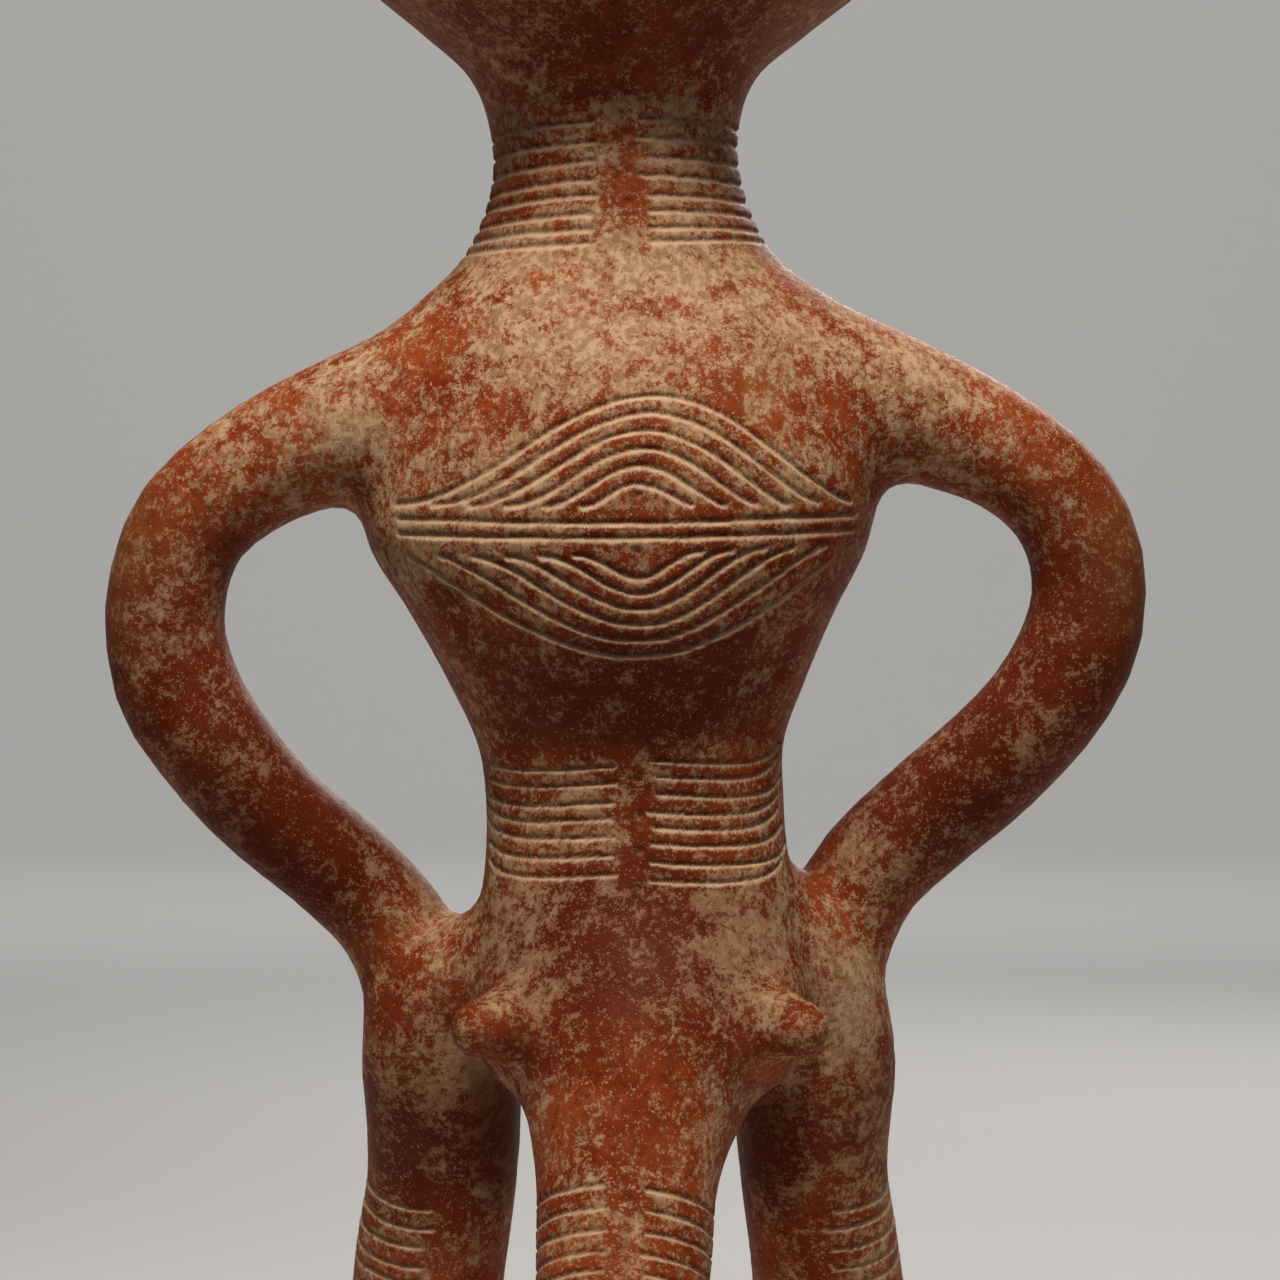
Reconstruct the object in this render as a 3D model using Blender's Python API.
"""A three-legged vessel of fired clay in the form of a standing figure.

The figure is one hollow piece. Its bowl-shaped head is the vessel's open mouth, its arms
bend in wide loops down to the tops of the two front legs, and a third leg carries it
behind. Rows of incised strokes ring the neck, the waist and the legs, and a lens of
nested curves covers the back.

Frame: metres, +Z up. The back, with the lens, faces -Y, and the face looks along +Y.
The origin is on the ground, under the middle of the figure's bounding box.
"""

import math

import bpy
import bmesh
from mathutils import Matrix, Vector

# Driving sizes, in metres.
FIGURE_HEIGHT = 0.390
WALL = 0.0065
FLOOR_THICKNESS = 0.010
LEG_WALL = 0.0060
LEG_SOLID_END = 0.016
STROKE_WIDTH = 0.0013
STROKE_DEPTH = 0.0008
STROKE_LIFT = 0.0005

# The modelled forms are given in parts of the figure's height.
PARTS_HIGH = 390
PART = FIGURE_HEIGHT / PARTS_HIGH

CLAY = (0.42, 0.17, 0.09, 1.0)
CLAY_ROUGHNESS = 0.72

# How finely the round forms are faceted.
TRUNK_SIDES = 24
TRUNK_STEP = 17
CAVITY_SIDES = 12
LEG_SIDES = 14
LEG_RINGS = 9
ARM_SIDES = 10
ARM_RINGS = 15
KNOB_SIDES = 9
PELLET_SIDES, PELLET_RINGS = 9, 5
BORE_SIDES = 7
BORE_RINGS = 5

# Trunk and head, bottom to top: height, middle to the side, half width, back face, front face.
TRUNK = (
    (90, 2.0, 12.0, -16.0, 12.0),
    (95, 2.2, 24.5, -27.0, 23.0),
    (103, 2.4, 31.5, -33.0, 28.5),
    (114, 2.5, 34.3, -32.0, 29.0),
    (128, 2.2, 32.0, -27.5, 26.5),
    (142, 1.8, 29.8, -24.5, 24.5),
    (154, 1.6, 29.2, -24.0, 23.5),
    (164, 1.0, 30.2, -26.5, 24.5),
    (176, 0.4, 35.4, -32.5, 27.5),
    (190, -0.4, 42.0, -38.5, 31.5),
    (204, -0.6, 47.0, -41.3, 34.5),
    (220, -0.6, 48.0, -40.3, 34.5),
    (236, -0.9, 45.5, -36.5, 32.5),
    (250, -1.6, 37.5, -31.5, 29.5),
    (262, -2.4, 29.0, -27.5, 27.0),
    (274, -2.6, 25.0, -25.0, 25.0),
    (286, -2.6, 24.9, -25.0, 25.0),
    (297, -2.4, 29.8, -30.0, 29.5),
    (306, -2.2, 40.0, -39.0, 38.5),
    (316, -2.0, 51.5, -49.5, 49.0),
    (332, -1.8, 60.0, -58.0, 58.0),
    (350, -1.6, 60.5, -58.5, 58.5),
    (370, -1.4, 54.0, -52.5, 52.5),
    (382, -1.4, 50.5, -49.5, 49.5),
    (390, -1.4, 51.5, -50.5, 50.5),
)

UNDERSIDE_ROUNDING = 2.0

# Legs, top to bottom: to the side, forward, height, radius. The side leg is given for +X.
BACK_LEG = (
    (2.2, -8.0, 114, 22.0),
    (1.8, -13.5, 101, 23.0),
    (0.8, -19.5, 90, 20.0),
    (-0.2, -25.0, 78, 17.9),
    (-0.8, -31.0, 64, 16.9),
    (-1.4, -37.5, 48, 16.6),
    (-1.6, -44.0, 32, 15.8),
    (-1.6, -50.0, 16, 15.4),
    (-1.6, -53.0, 5, 15.2),
)
SIDE_LEG = (
    (21.0, 4.0, 131, 10.5),
    (31.5, 8.5, 124, 13.5),
    (37.0, 13.0, 112, 15.8),
    (38.6, 17.0, 99, 17.3),
    (37.9, 21.5, 86, 15.9),
    (38.5, 25.5, 74, 15.6),
    (40.8, 30.5, 60, 16.2),
    (42.4, 36.0, 44, 16.3),
    (43.6, 41.5, 28, 15.6),
    (44.6, 46.0, 14, 15.2),
    (45.0, 48.0, 5, 15.0),
)

# Arms, shoulder to hand: to the side, forward, height, radius.
LEFT_ARM = (
    (-20.0, -3.0, 236.0, 18.0),
    (-42.0, -3.0, 231.5, 16.5),
    (-60.0, -2.0, 225.5, 14.2),
    (-75.6, -0.5, 218.0, 12.6),
    (-87.0, 1.0, 206.0, 11.9),
    (-92.4, 2.5, 189.0, 11.9),
    (-90.4, 4.5, 174.5, 12.2),
    (-83.0, 6.5, 161.5, 11.8),
    (-72.0, 9.0, 150.0, 11.4),
    (-58.5, 12.0, 139.5, 11.5),
    (-47.0, 15.0, 130.0, 12.0),
    (-40.0, 17.0, 118.0, 12.6),
    (-38.5, 18.0, 106.0, 12.0),
)
RIGHT_ARM = (
    (20.0, -3.0, 240.0, 18.0),
    (42.0, -3.0, 236.0, 16.0),
    (58.5, -2.0, 230.5, 13.6),
    (76.0, -0.5, 221.5, 11.6),
    (87.5, 1.0, 210.5, 11.2),
    (92.4, 2.5, 197.0, 11.4),
    (91.0, 4.5, 184.0, 11.9),
    (84.0, 6.5, 171.0, 11.9),
    (72.8, 9.0, 159.0, 12.0),
    (59.5, 12.0, 147.5, 11.6),
    (48.0, 15.0, 136.5, 11.5),
    (41.5, 17.0, 122.0, 12.6),
    (39.0, 18.0, 108.0, 12.0),
)

# The feet are oval pads, longer outwards: share of the leg's radius at a height.
FOOT_PROFILE = ((0.0, 0.98), (2.0, 1.10), (7.0, 1.14), (12.0, 1.06), (17.0, 0.80))
FOOT_LENGTH = 1.18
FOOT_FORWARD = 3.0
SIDE_LEG_HEADING = math.radians(48)

# Knobs are blunt cones: base on the trunk, tip direction, base and tip radius, length.
KNOB_LEVEL = 106.5
KNOB_BEARING = math.radians(-40)
KNOB_DROOP = 0.12
KNOB_LENGTH = 15.0
KNOB_BASE = 11.0
KNOB_TIP = 4.6

# The face, on the front of the head.
BROW_LEVEL = 355
BROW_RISE = 3.6
BROW_THICKNESS = 2.6
BROW_REACH = math.radians(37)
EYE_LEVEL = 344
EYE_BEARING = math.radians(21)
EYE_SIZE = (9.0, 4.2, 5.4)
NOSE_TIP_LEVEL = 331
NOSE_WIDTH = 4.6
NOSE_DEPTH = 6.5
NOSE_SINK = 2.0
MOUTH_LEVEL = 318
MOUTH_SIZE = (9.0, 4.2, 3.8)
EAR_LEVEL = 343
EAR_SIZE = (7.0, 5.0, 12.5)

# The nose's sections: share of its height above its tip, of its width and of its depth.
NOSE_SECTIONS = ((1.08, 0.55, 0.05), (0.5, 0.75, 0.75), (0.12, 1.0, 1.0), (-0.04, 0.9, 0.75))

# Incised strokes. A plain strip down the middle parts each row of them.
STROKE_END = 0.35
NECK_TOP, NECK_LINES, NECK_PITCH = 287.0, 8, 3.3
NECK_STRIP, NECK_REACH = 10.0, math.radians(122)
WAIST_TOP, WAIST_LINES, WAIST_PITCH = 159.0, 8, 3.3
WAIST_STRIP, WAIST_REACH = 7.6, math.radians(76)
LEG_TOP, LEG_LINES, LEG_PITCH = 73.0, 5, 4.3
LEG_STRIP, LEG_REACH = 6.5, math.radians(126)

# The lens: two level bars, with nested curves over and under them.
LENS_LEVEL = 206.0
LENS_BAR_GAP = 3.1
LENS_SPACE_OVER, LENS_SPACE_UNDER = 2.8, 3.5
LENS_HALF_WIDTH = 45.0
LENS_BOW = 1.4
LENS_CURVES = 6
LENS_NARROWING = 0.151
LENS_LEAN = 1.8
LENS_OVER_RISE, LENS_OVER_PITCH = 4.7, 3.6
LENS_UNDER_RISE, LENS_UNDER_PITCH = 4.7, 3.0
LENS_BELL = 1.35
LENS_TRIM = 0.86
LENS_SEGMENT = 8.4


def clear_scene():
    """Removes whatever the scene holds."""
    for obj in list(bpy.data.objects):
        bpy.data.objects.remove(obj)


def smooth_row(table, keys, at):
    """One row of a table at a key between its own, on a smooth curve through its rows."""
    last = len(table) - 1
    at = min(max(at, keys[0]), keys[last])
    k = next(i for i in range(last) if at <= keys[i + 1])
    span = keys[k + 1] - keys[k]
    t = (at - keys[k]) / span

    def slope(i, column):
        low, high = max(i - 1, 0), min(i + 1, last)
        return (table[high][column] - table[low][column]) / (keys[high] - keys[low])

    h00, h10 = (1 + 2 * t) * (1 - t) ** 2, t * (1 - t) ** 2
    h01, h11 = t * t * (3 - 2 * t), t * t * (t - 1)
    return tuple(
        h00 * table[k][c]
        + h10 * span * slope(k, c)
        + h01 * table[k + 1][c]
        + h11 * span * slope(k + 1, c)
        for c in range(len(table[k]))
    )


def trunk_at(level):
    """Middle (x, y) and half axes (a, b) of the trunk's oval at a height, in parts."""
    _, side, half_width, back, front = smooth_row(TRUNK, [r[0] for r in TRUNK], level)
    return side, (front + back) / 2, half_width, (front - back) / 2


def trunk_point(level, bearing, lift=0.0):
    """A point on the trunk, and its outward normal. A bearing of 90 degrees is the front."""
    step = 0.5
    x, y, a, b = trunk_at(level)
    growth = (trunk_at(level + step)[2] - trunk_at(level - step)[2]) / (2 * step)
    normal = Vector((math.cos(bearing) / a, math.sin(bearing) / b, 0)).normalized()
    normal = (normal - Vector((0, 0, growth))).normalized()
    point = Vector((x + a * math.cos(bearing), y + b * math.sin(bearing), level))
    return point + normal * lift, normal


def trunk_bearing(level, x, facing):
    """The bearing at which the trunk's back (facing -1) or front (1) has that x."""
    middle, _, a, _ = trunk_at(level)
    return facing * math.acos(min(max((x - middle) / a, -0.999), 0.999))


def path_lengths(table):
    """How far along its middle line each row of a limb's table lies."""
    lengths = [0.0]
    for before, after in zip(table, table[1:]):
        lengths.append(lengths[-1] + (Vector(after[:3]) - Vector(before[:3])).length)
    return lengths


def limb_at(table, keys, at, reference):
    """Middle, axis, two cross directions and radius of a limb at a length along it."""
    step = 0.5
    x, y, z, radius = smooth_row(table, keys, at)
    ahead = Vector(smooth_row(table, keys, at + step)[:3])
    behind = Vector(smooth_row(table, keys, at - step)[:3])
    axis = (ahead - behind).normalized()
    across = (reference - axis * reference.dot(axis)).normalized()
    return Vector((x, y, z)), axis, across, across.cross(axis), radius


def solid(name, rings):
    """A closed mesh object through rings of points, with flat ends. Points are in parts."""
    shape = bmesh.new()
    loops = [[shape.verts.new(p * PART) for p in ring] for ring in rings]
    sides = len(loops[0])
    for lower, upper in zip(loops, loops[1:]):
        for i in range(sides):
            j = (i + 1) % sides
            shape.faces.new((lower[i], lower[j], upper[j], upper[i]))
    shape.faces.new(loops[0])
    shape.faces.new(loops[-1])
    bmesh.ops.recalc_face_normals(shape, faces=shape.faces)
    return new_object(name, shape)


def new_object(name, shape):
    """Puts a bmesh in a new object of that name."""
    mesh = bpy.data.meshes.new(name)
    shape.to_mesh(mesh)
    shape.free()
    obj = bpy.data.objects.new(name, mesh)
    bpy.context.scene.collection.objects.link(obj)
    return obj


def oval(middle, u, v, sides, turn=0.0):
    """A ring of points round a middle, on the half axes u and v."""
    angles = [2 * math.pi * i / sides + turn for i in range(sides)]
    return [middle + u * math.cos(t) + v * math.sin(t) for t in angles]


def incised_stations(levels, pitch):
    """Three places along a form for each stroke: its two edges, and its bottom with its depth."""
    half, depth = STROKE_WIDTH / 2 / PART, STROKE_DEPTH / PART
    edges = [(at + side * half, 0.0) for at in levels for side in (-1, 1)]
    return edges + [(at, depth) for at in levels], (min(levels) - pitch, max(levels) + pitch)


def incised_oval(middle, u, v, sides, cut, plain, reach):
    """An oval ring from +u on, cut in from its plain strip at +u to its reach on both sides."""
    ring = []
    for i in range(sides):
        turn = math.pi * (2 * i + 1) / sides
        away = min(turn, 2 * math.pi - turn)
        side = u * math.cos(turn) + v * math.sin(turn)
        sunk = cut if plain < away < reach else 0.0
        ring.append(middle + side * (1 - sunk / side.length))
    return ring


def make_trunk():
    """Head, neck and body in one loft, with the strokes round the neck and the waist."""
    lip = WALL / 2 / PART
    bottom, top = TRUNK[0][0], PARTS_HIGH - lip
    x, y, a, b = trunk_at(bottom)
    back, side = Vector((0, -1, 0)), Vector((1, 0, 0))
    middle = Vector((x, y, bottom - UNDERSIDE_ROUNDING))
    rings = [incised_oval(middle, back * b * 0.6, side * a * 0.6, TRUNK_SIDES, 0, 0, 0)]
    levels = [row[0] for row in TRUNK[:-1]]
    levels += [(low + high) / 2 for low, high in zip(levels, levels[1:]) if high - low > TRUNK_STEP]
    stations = [(level, 0.0, 0.0, 0.0) for level in levels + [top]]
    for first, count, pitch, strip, reach in (
        (NECK_TOP, NECK_LINES, NECK_PITCH, NECK_STRIP, NECK_REACH),
        (WAIST_TOP, WAIST_LINES, WAIST_PITCH, WAIST_STRIP, WAIST_REACH),
    ):
        places, (low, high) = incised_stations([first - pitch * k for k in range(count)], pitch)
        plain = strip / 2 / trunk_at(first)[2]
        stations = [s for s in stations if not low < s[0] < high]
        stations += [(level, cut, plain, reach) for level, cut in places]
    for level, cut, plain, reach in sorted(stations):
        x, y, a, b = trunk_at(level)
        middle = Vector((x, y, level))
        rings.append(incised_oval(middle, back * b, side * a, TRUNK_SIDES, cut, plain, reach))
    for turn in (math.radians(40), math.radians(80)):
        inset = lip * (1 - math.cos(turn))
        middle = Vector((x, y, top + lip * math.sin(turn)))
        u, v = back * (b - inset), side * (a - inset)
        rings.append(incised_oval(middle, u, v, TRUNK_SIDES, 0, 0, 0))
    return solid("vessel", rings)


def make_cavity():
    """The hollow of the head, neck and body: the trunk's loft, moved in by the wall."""
    wall, step = WALL / PART, 0.5
    floor = TRUNK[0][0] + FLOOR_THICKNESS / PART
    rings = []
    for level in [floor] + [row[0] for row in TRUNK if row[0] > floor + wall]:
        x, y, a, b = trunk_at(level)
        above, below = trunk_at(level + step), trunk_at(level - step)
        growth = (above[2] + above[3] - below[2] - below[3]) / (4 * step)
        inset = wall * math.hypot(1, growth)
        if level == floor:
            inset += wall
        across, deep = Vector((a - inset, 0, 0)), Vector((0, b - inset, 0))
        rings.append(oval(Vector((x, y, level)), across, deep, CAVITY_SIDES))
    clear = Vector((0, 0, wall))
    rings.append([p + clear for p in rings[-1]])
    return solid("cut_cavity", rings)


def leg_reference(heading):
    """The level direction that a leg's foot points in."""
    return Vector((math.cos(heading), math.sin(heading), 0))


def make_limb(name, table, reference, sides, rings, thinner=0.0, end_at=None):
    """A round limb along its middle line, thinner by an amount all round."""
    keys = path_lengths(table)
    end = keys[-1] if end_at is None else end_at
    made = []
    for k in range(rings):
        middle, _, u, v, radius = limb_at(table, keys, end * k / (rings - 1), reference)
        made.append(oval(middle, u * (radius - thinner), v * (radius - thinner), sides))
    return solid(name, made)


def make_leg(name, table, heading):
    """A round leg with its rows of strokes, parted by a plain strip that faces outwards."""
    keys, reference = path_lengths(table), leg_reference(heading)
    slope = (table[0][2] - table[-1][2]) / keys[-1]
    first = (table[0][2] - LEG_TOP) / slope
    places, (low, high) = incised_stations([first + LEG_PITCH * k for k in range(LEG_LINES)], LEG_PITCH)
    plain = [keys[-1] * k / (LEG_RINGS - 1) for k in range(LEG_RINGS)]
    places += [(at, 0.0) for at in plain if not low < at < high]
    rings = []
    for at, cut in sorted(places):
        middle, _, u, v, radius = limb_at(table, keys, at, reference)
        strip = LEG_STRIP / 2 / radius
        ring = incised_oval(middle, u * radius, v * radius, LEG_SIDES, cut, strip, LEG_REACH)
        rings.append(ring)
    return solid(name, rings)


def make_foot(name, table, heading):
    """An oval pad under a leg, flat on the ground."""
    x, y, _, radius = table[-1]
    out = leg_reference(heading)
    side = Vector((-out.y, out.x, 0))
    middle = Vector((x, y, 0)) + out * FOOT_FORWARD
    rings = [
        oval(middle + Vector((0, 0, level)), out * radius * share * FOOT_LENGTH, side * radius * share, LEG_SIDES)
        for level, share in FOOT_PROFILE
    ]
    return solid(name, rings)


def make_knob(name, bearing):
    """A blunt cone that stands out of the hip."""
    root, normal = trunk_point(KNOB_LEVEL, bearing, -KNOB_BASE / 2)
    axis = (Vector((normal.x, normal.y, 0)).normalized() - Vector((0, 0, KNOB_DROOP))).normalized()
    u = axis.orthogonal().normalized()
    v = axis.cross(u)
    profile = ((0.0, KNOB_BASE), (0.55, 0.62 * KNOB_BASE), (0.85, KNOB_TIP), (0.97, 0.62 * KNOB_TIP))
    rings = []
    for share, radius in profile:
        rings.append(oval(root + axis * KNOB_LENGTH * share, u * radius, v * radius, KNOB_SIDES))
    return solid(name, rings)


def make_pellet(name, level, bearing, size, sink=0.35):
    """A pellet of clay pressed on the head, as an oval ball: across, out and up."""
    root, normal = trunk_point(level, bearing)
    across = Vector((0, 0, 1)).cross(normal).normalized()
    up = normal.cross(across)
    shape = bmesh.new()
    bmesh.ops.create_uvsphere(shape, u_segments=PELLET_SIDES, v_segments=PELLET_RINGS, radius=1.0)
    turn = Matrix((across * size[0], normal * size[1], up * size[2])).transposed()
    place = Matrix.Translation((root - normal * size[1] * sink) * PART) @ (turn * PART).to_4x4()
    bmesh.ops.transform(shape, matrix=place, verts=shape.verts)
    bmesh.ops.recalc_face_normals(shape, faces=shape.faces)
    return new_object(name, shape)


def make_nose():
    """A straight ridge from the brow to the tip of the nose, widening downwards."""
    rings = []
    for height, width, out in NOSE_SECTIONS:
        root, _ = trunk_point(NOSE_TIP_LEVEL + height * (BROW_LEVEL - NOSE_TIP_LEVEL), math.pi / 2)
        u, v = Vector((NOSE_WIDTH * width, 0, 0)), Vector((0, NOSE_DEPTH * out + NOSE_SINK, 0))
        rings.append(oval(root - Vector((0, NOSE_SINK, 0)), u, v, PELLET_SIDES))
    return solid("nose", rings)


def make_brows():
    """Both brows, as one ridge of two arches from temple to temple."""
    rings = []
    for k in range(-4, 5):
        share = abs(k) / 4
        bearing = math.pi / 2 - BROW_REACH * k / 4
        thick = BROW_THICKNESS * (1 - share / 2)
        level = BROW_LEVEL + BROW_RISE * math.sin(math.pi * share)
        root, normal = trunk_point(level, bearing, -thick / 4)
        rings.append(oval(root, normal * thick, Vector((0, 0, thick)), 6))
    return solid("brows", rings)


def bow(x):
    """How far the lens's middle lines have risen at a distance from its middle."""
    return LENS_BOW * (x / LENS_HALF_WIDTH) ** 2


def lens_curve(base, height, half_width, trim, lean=0.0):
    """Points (x, level) of one bell-shaped curve of the lens; a height below 0 hangs down."""
    round_back = trunk_at(base)[2]
    reach = math.asin(min(half_width * trim / round_back, 1.0))
    count = max(2, round(round_back * reach / LENS_SEGMENT))
    points = []
    for k in range(-count, count + 1):
        x = round_back * math.sin(reach * k / count)
        bell = ((1 + math.cos(math.pi * x / half_width)) / 2) ** LENS_BELL
        points.append((x + lean, base + height * bell + bow(x)))
    return points


def lens_strokes():
    """Every stroke of the lens on the back, as points on the trunk with their normals."""
    upper_bar, lower_bar = LENS_LEVEL + LENS_BAR_GAP / 2, LENS_LEVEL - LENS_BAR_GAP / 2
    flat = [lens_curve(level, 0.0, LENS_HALF_WIDTH, 1.0) for level in (upper_bar, lower_bar)]
    for k in range(LENS_CURVES):
        half_width = LENS_HALF_WIDTH * (1 - LENS_NARROWING * k)
        over = LENS_OVER_RISE + LENS_OVER_PITCH * (LENS_CURVES - 1 - k)
        under = LENS_UNDER_RISE + LENS_UNDER_PITCH * (LENS_CURVES - 1 - k)
        trim = LENS_TRIM if k else 1.0
        lean = LENS_LEAN * k / LENS_CURVES
        flat.append(lens_curve(upper_bar + LENS_SPACE_OVER, over, half_width, trim, lean))
        flat.append(lens_curve(lower_bar - LENS_SPACE_UNDER, -under, half_width, trim, lean))
    return [[trunk_point(z, trunk_bearing(z, x, -1)) for x, z in line] for line in flat]


def make_strokes(name, strokes):
    """Wedges that cut incised strokes, each running out towards its ends."""
    half, depth, lift = STROKE_WIDTH / 2 / PART, STROKE_DEPTH / PART, STROKE_LIFT / PART
    shape = bmesh.new()
    for stroke in strokes:
        rings = []
        for k, (point, normal) in enumerate(stroke):
            before, after = stroke[max(k - 1, 0)][0], stroke[min(k + 1, len(stroke) - 1)][0]
            side = normal.cross(after - before).normalized()
            full = STROKE_END if k in (0, len(stroke) - 1) else 1.0
            wide = half * full * (1 + lift / (depth * full))
            ends = (point + normal * lift + side * wide, point + normal * lift - side * wide)
            rings.append([*ends, point - normal * depth * full])
        loops = [[shape.verts.new(p * PART) for p in ring] for ring in rings]
        for lower, upper in zip(loops, loops[1:]):
            for i in range(3):
                j = (i + 1) % 3
                shape.faces.new((lower[i], lower[j], upper[j], upper[i]))
        shape.faces.new(loops[0])
        shape.faces.new(loops[-1])
    bmesh.ops.recalc_face_normals(shape, faces=shape.faces)
    return new_object(name, shape)


def boolean(target, other, operation):
    """Joins another object to the target or cuts it away, and hides it."""
    modifier = target.modifiers.new(f"{operation.lower()} {other.name}", "BOOLEAN")
    modifier.operation = operation
    modifier.solver = "EXACT"
    modifier.object = other
    other.hide_render = True
    other.display_type = "WIRE"


def clay():
    """The red-slipped, burnished clay."""
    material = bpy.data.materials.new("fired clay")
    material.use_nodes = True
    shader = material.node_tree.nodes["Principled BSDF"]
    shader.inputs["Base Color"].default_value = CLAY
    shader.inputs["Roughness"].default_value = CLAY_ROUGHNESS
    shader.inputs["Metallic"].default_value = 0.0
    return material


def mirrored(table):
    """The same limb on the figure's other side."""
    return tuple((-row[0], *row[1:]) for row in table)


def make_vessel():
    """The whole figure, built up from its forms and then hollowed and incised."""
    back_heading = -math.pi / 2
    side_headings = (SIDE_LEG_HEADING, math.pi - SIDE_LEG_HEADING)
    legs = (
        ("leg_back", BACK_LEG, back_heading),
        ("leg_right", SIDE_LEG, side_headings[0]),
        ("leg_left", mirrored(SIDE_LEG), side_headings[1]),
    )
    vessel = make_trunk()
    joined = []
    for name, table, heading in legs:
        joined.append(make_leg(name, table, heading))
        joined.append(make_foot(f"foot_of_{name}", table, heading))
    forward = Vector((0, 1, 0))
    for name, table in (("arm_left", LEFT_ARM), ("arm_right", RIGHT_ARM)):
        joined.append(make_limb(name, table, forward, ARM_SIDES, ARM_RINGS))
    for side, mark in ((1, "right"), (-1, "left")):
        hip = KNOB_BEARING if side > 0 else -math.pi - KNOB_BEARING
        eye = math.pi / 2 - side * EYE_BEARING
        ear = 0.0 if side > 0 else math.pi
        joined.append(make_knob(f"hip_{mark}", hip))
        joined.append(make_pellet(f"eye_{mark}", EYE_LEVEL, eye, EYE_SIZE))
        joined.append(make_pellet(f"ear_{mark}", EAR_LEVEL, ear, EAR_SIZE, 0.1))
    joined.append(make_brows())
    joined.append(make_nose())
    joined.append(make_pellet("mouth", MOUTH_LEVEL, math.pi / 2, MOUTH_SIZE))

    cuts = [make_cavity()]
    for name, table, heading in legs:
        end_at = path_lengths(table)[-1] - (LEG_SOLID_END / PART - table[-1][2])
        reference = leg_reference(heading)
        thinner = LEG_WALL / PART
        bore = make_limb(f"bore_{name}", table, reference, BORE_SIDES, BORE_RINGS, thinner, end_at)
        cuts.append(bore)
    cuts.append(make_strokes("cut_lens", lens_strokes()))

    for other in joined:
        boolean(vessel, other, "UNION")
    for other in cuts:
        boolean(vessel, other, "DIFFERENCE")
    vessel.data.materials.append(clay())
    return vessel, joined + cuts


def stand(vessel, helpers):
    """Moves the figure so that the origin is under the middle of its bounding box."""
    frame = bpy.data.objects.new("figure", None)
    bpy.context.scene.collection.objects.link(frame)
    for obj in (vessel, *helpers):
        obj.parent = frame
    bpy.context.view_layer.update()
    corners = [Vector(c) for c in vessel.evaluated_get(bpy.context.evaluated_depsgraph_get()).bound_box]
    middle = [(min(c[i] for c in corners) + max(c[i] for c in corners)) / 2 for i in range(2)]
    frame.location = (-middle[0], -middle[1], -min(c.z for c in corners))


def main():
    """Builds the figure."""
    clear_scene()
    vessel, helpers = make_vessel()
    stand(vessel, helpers)


main()
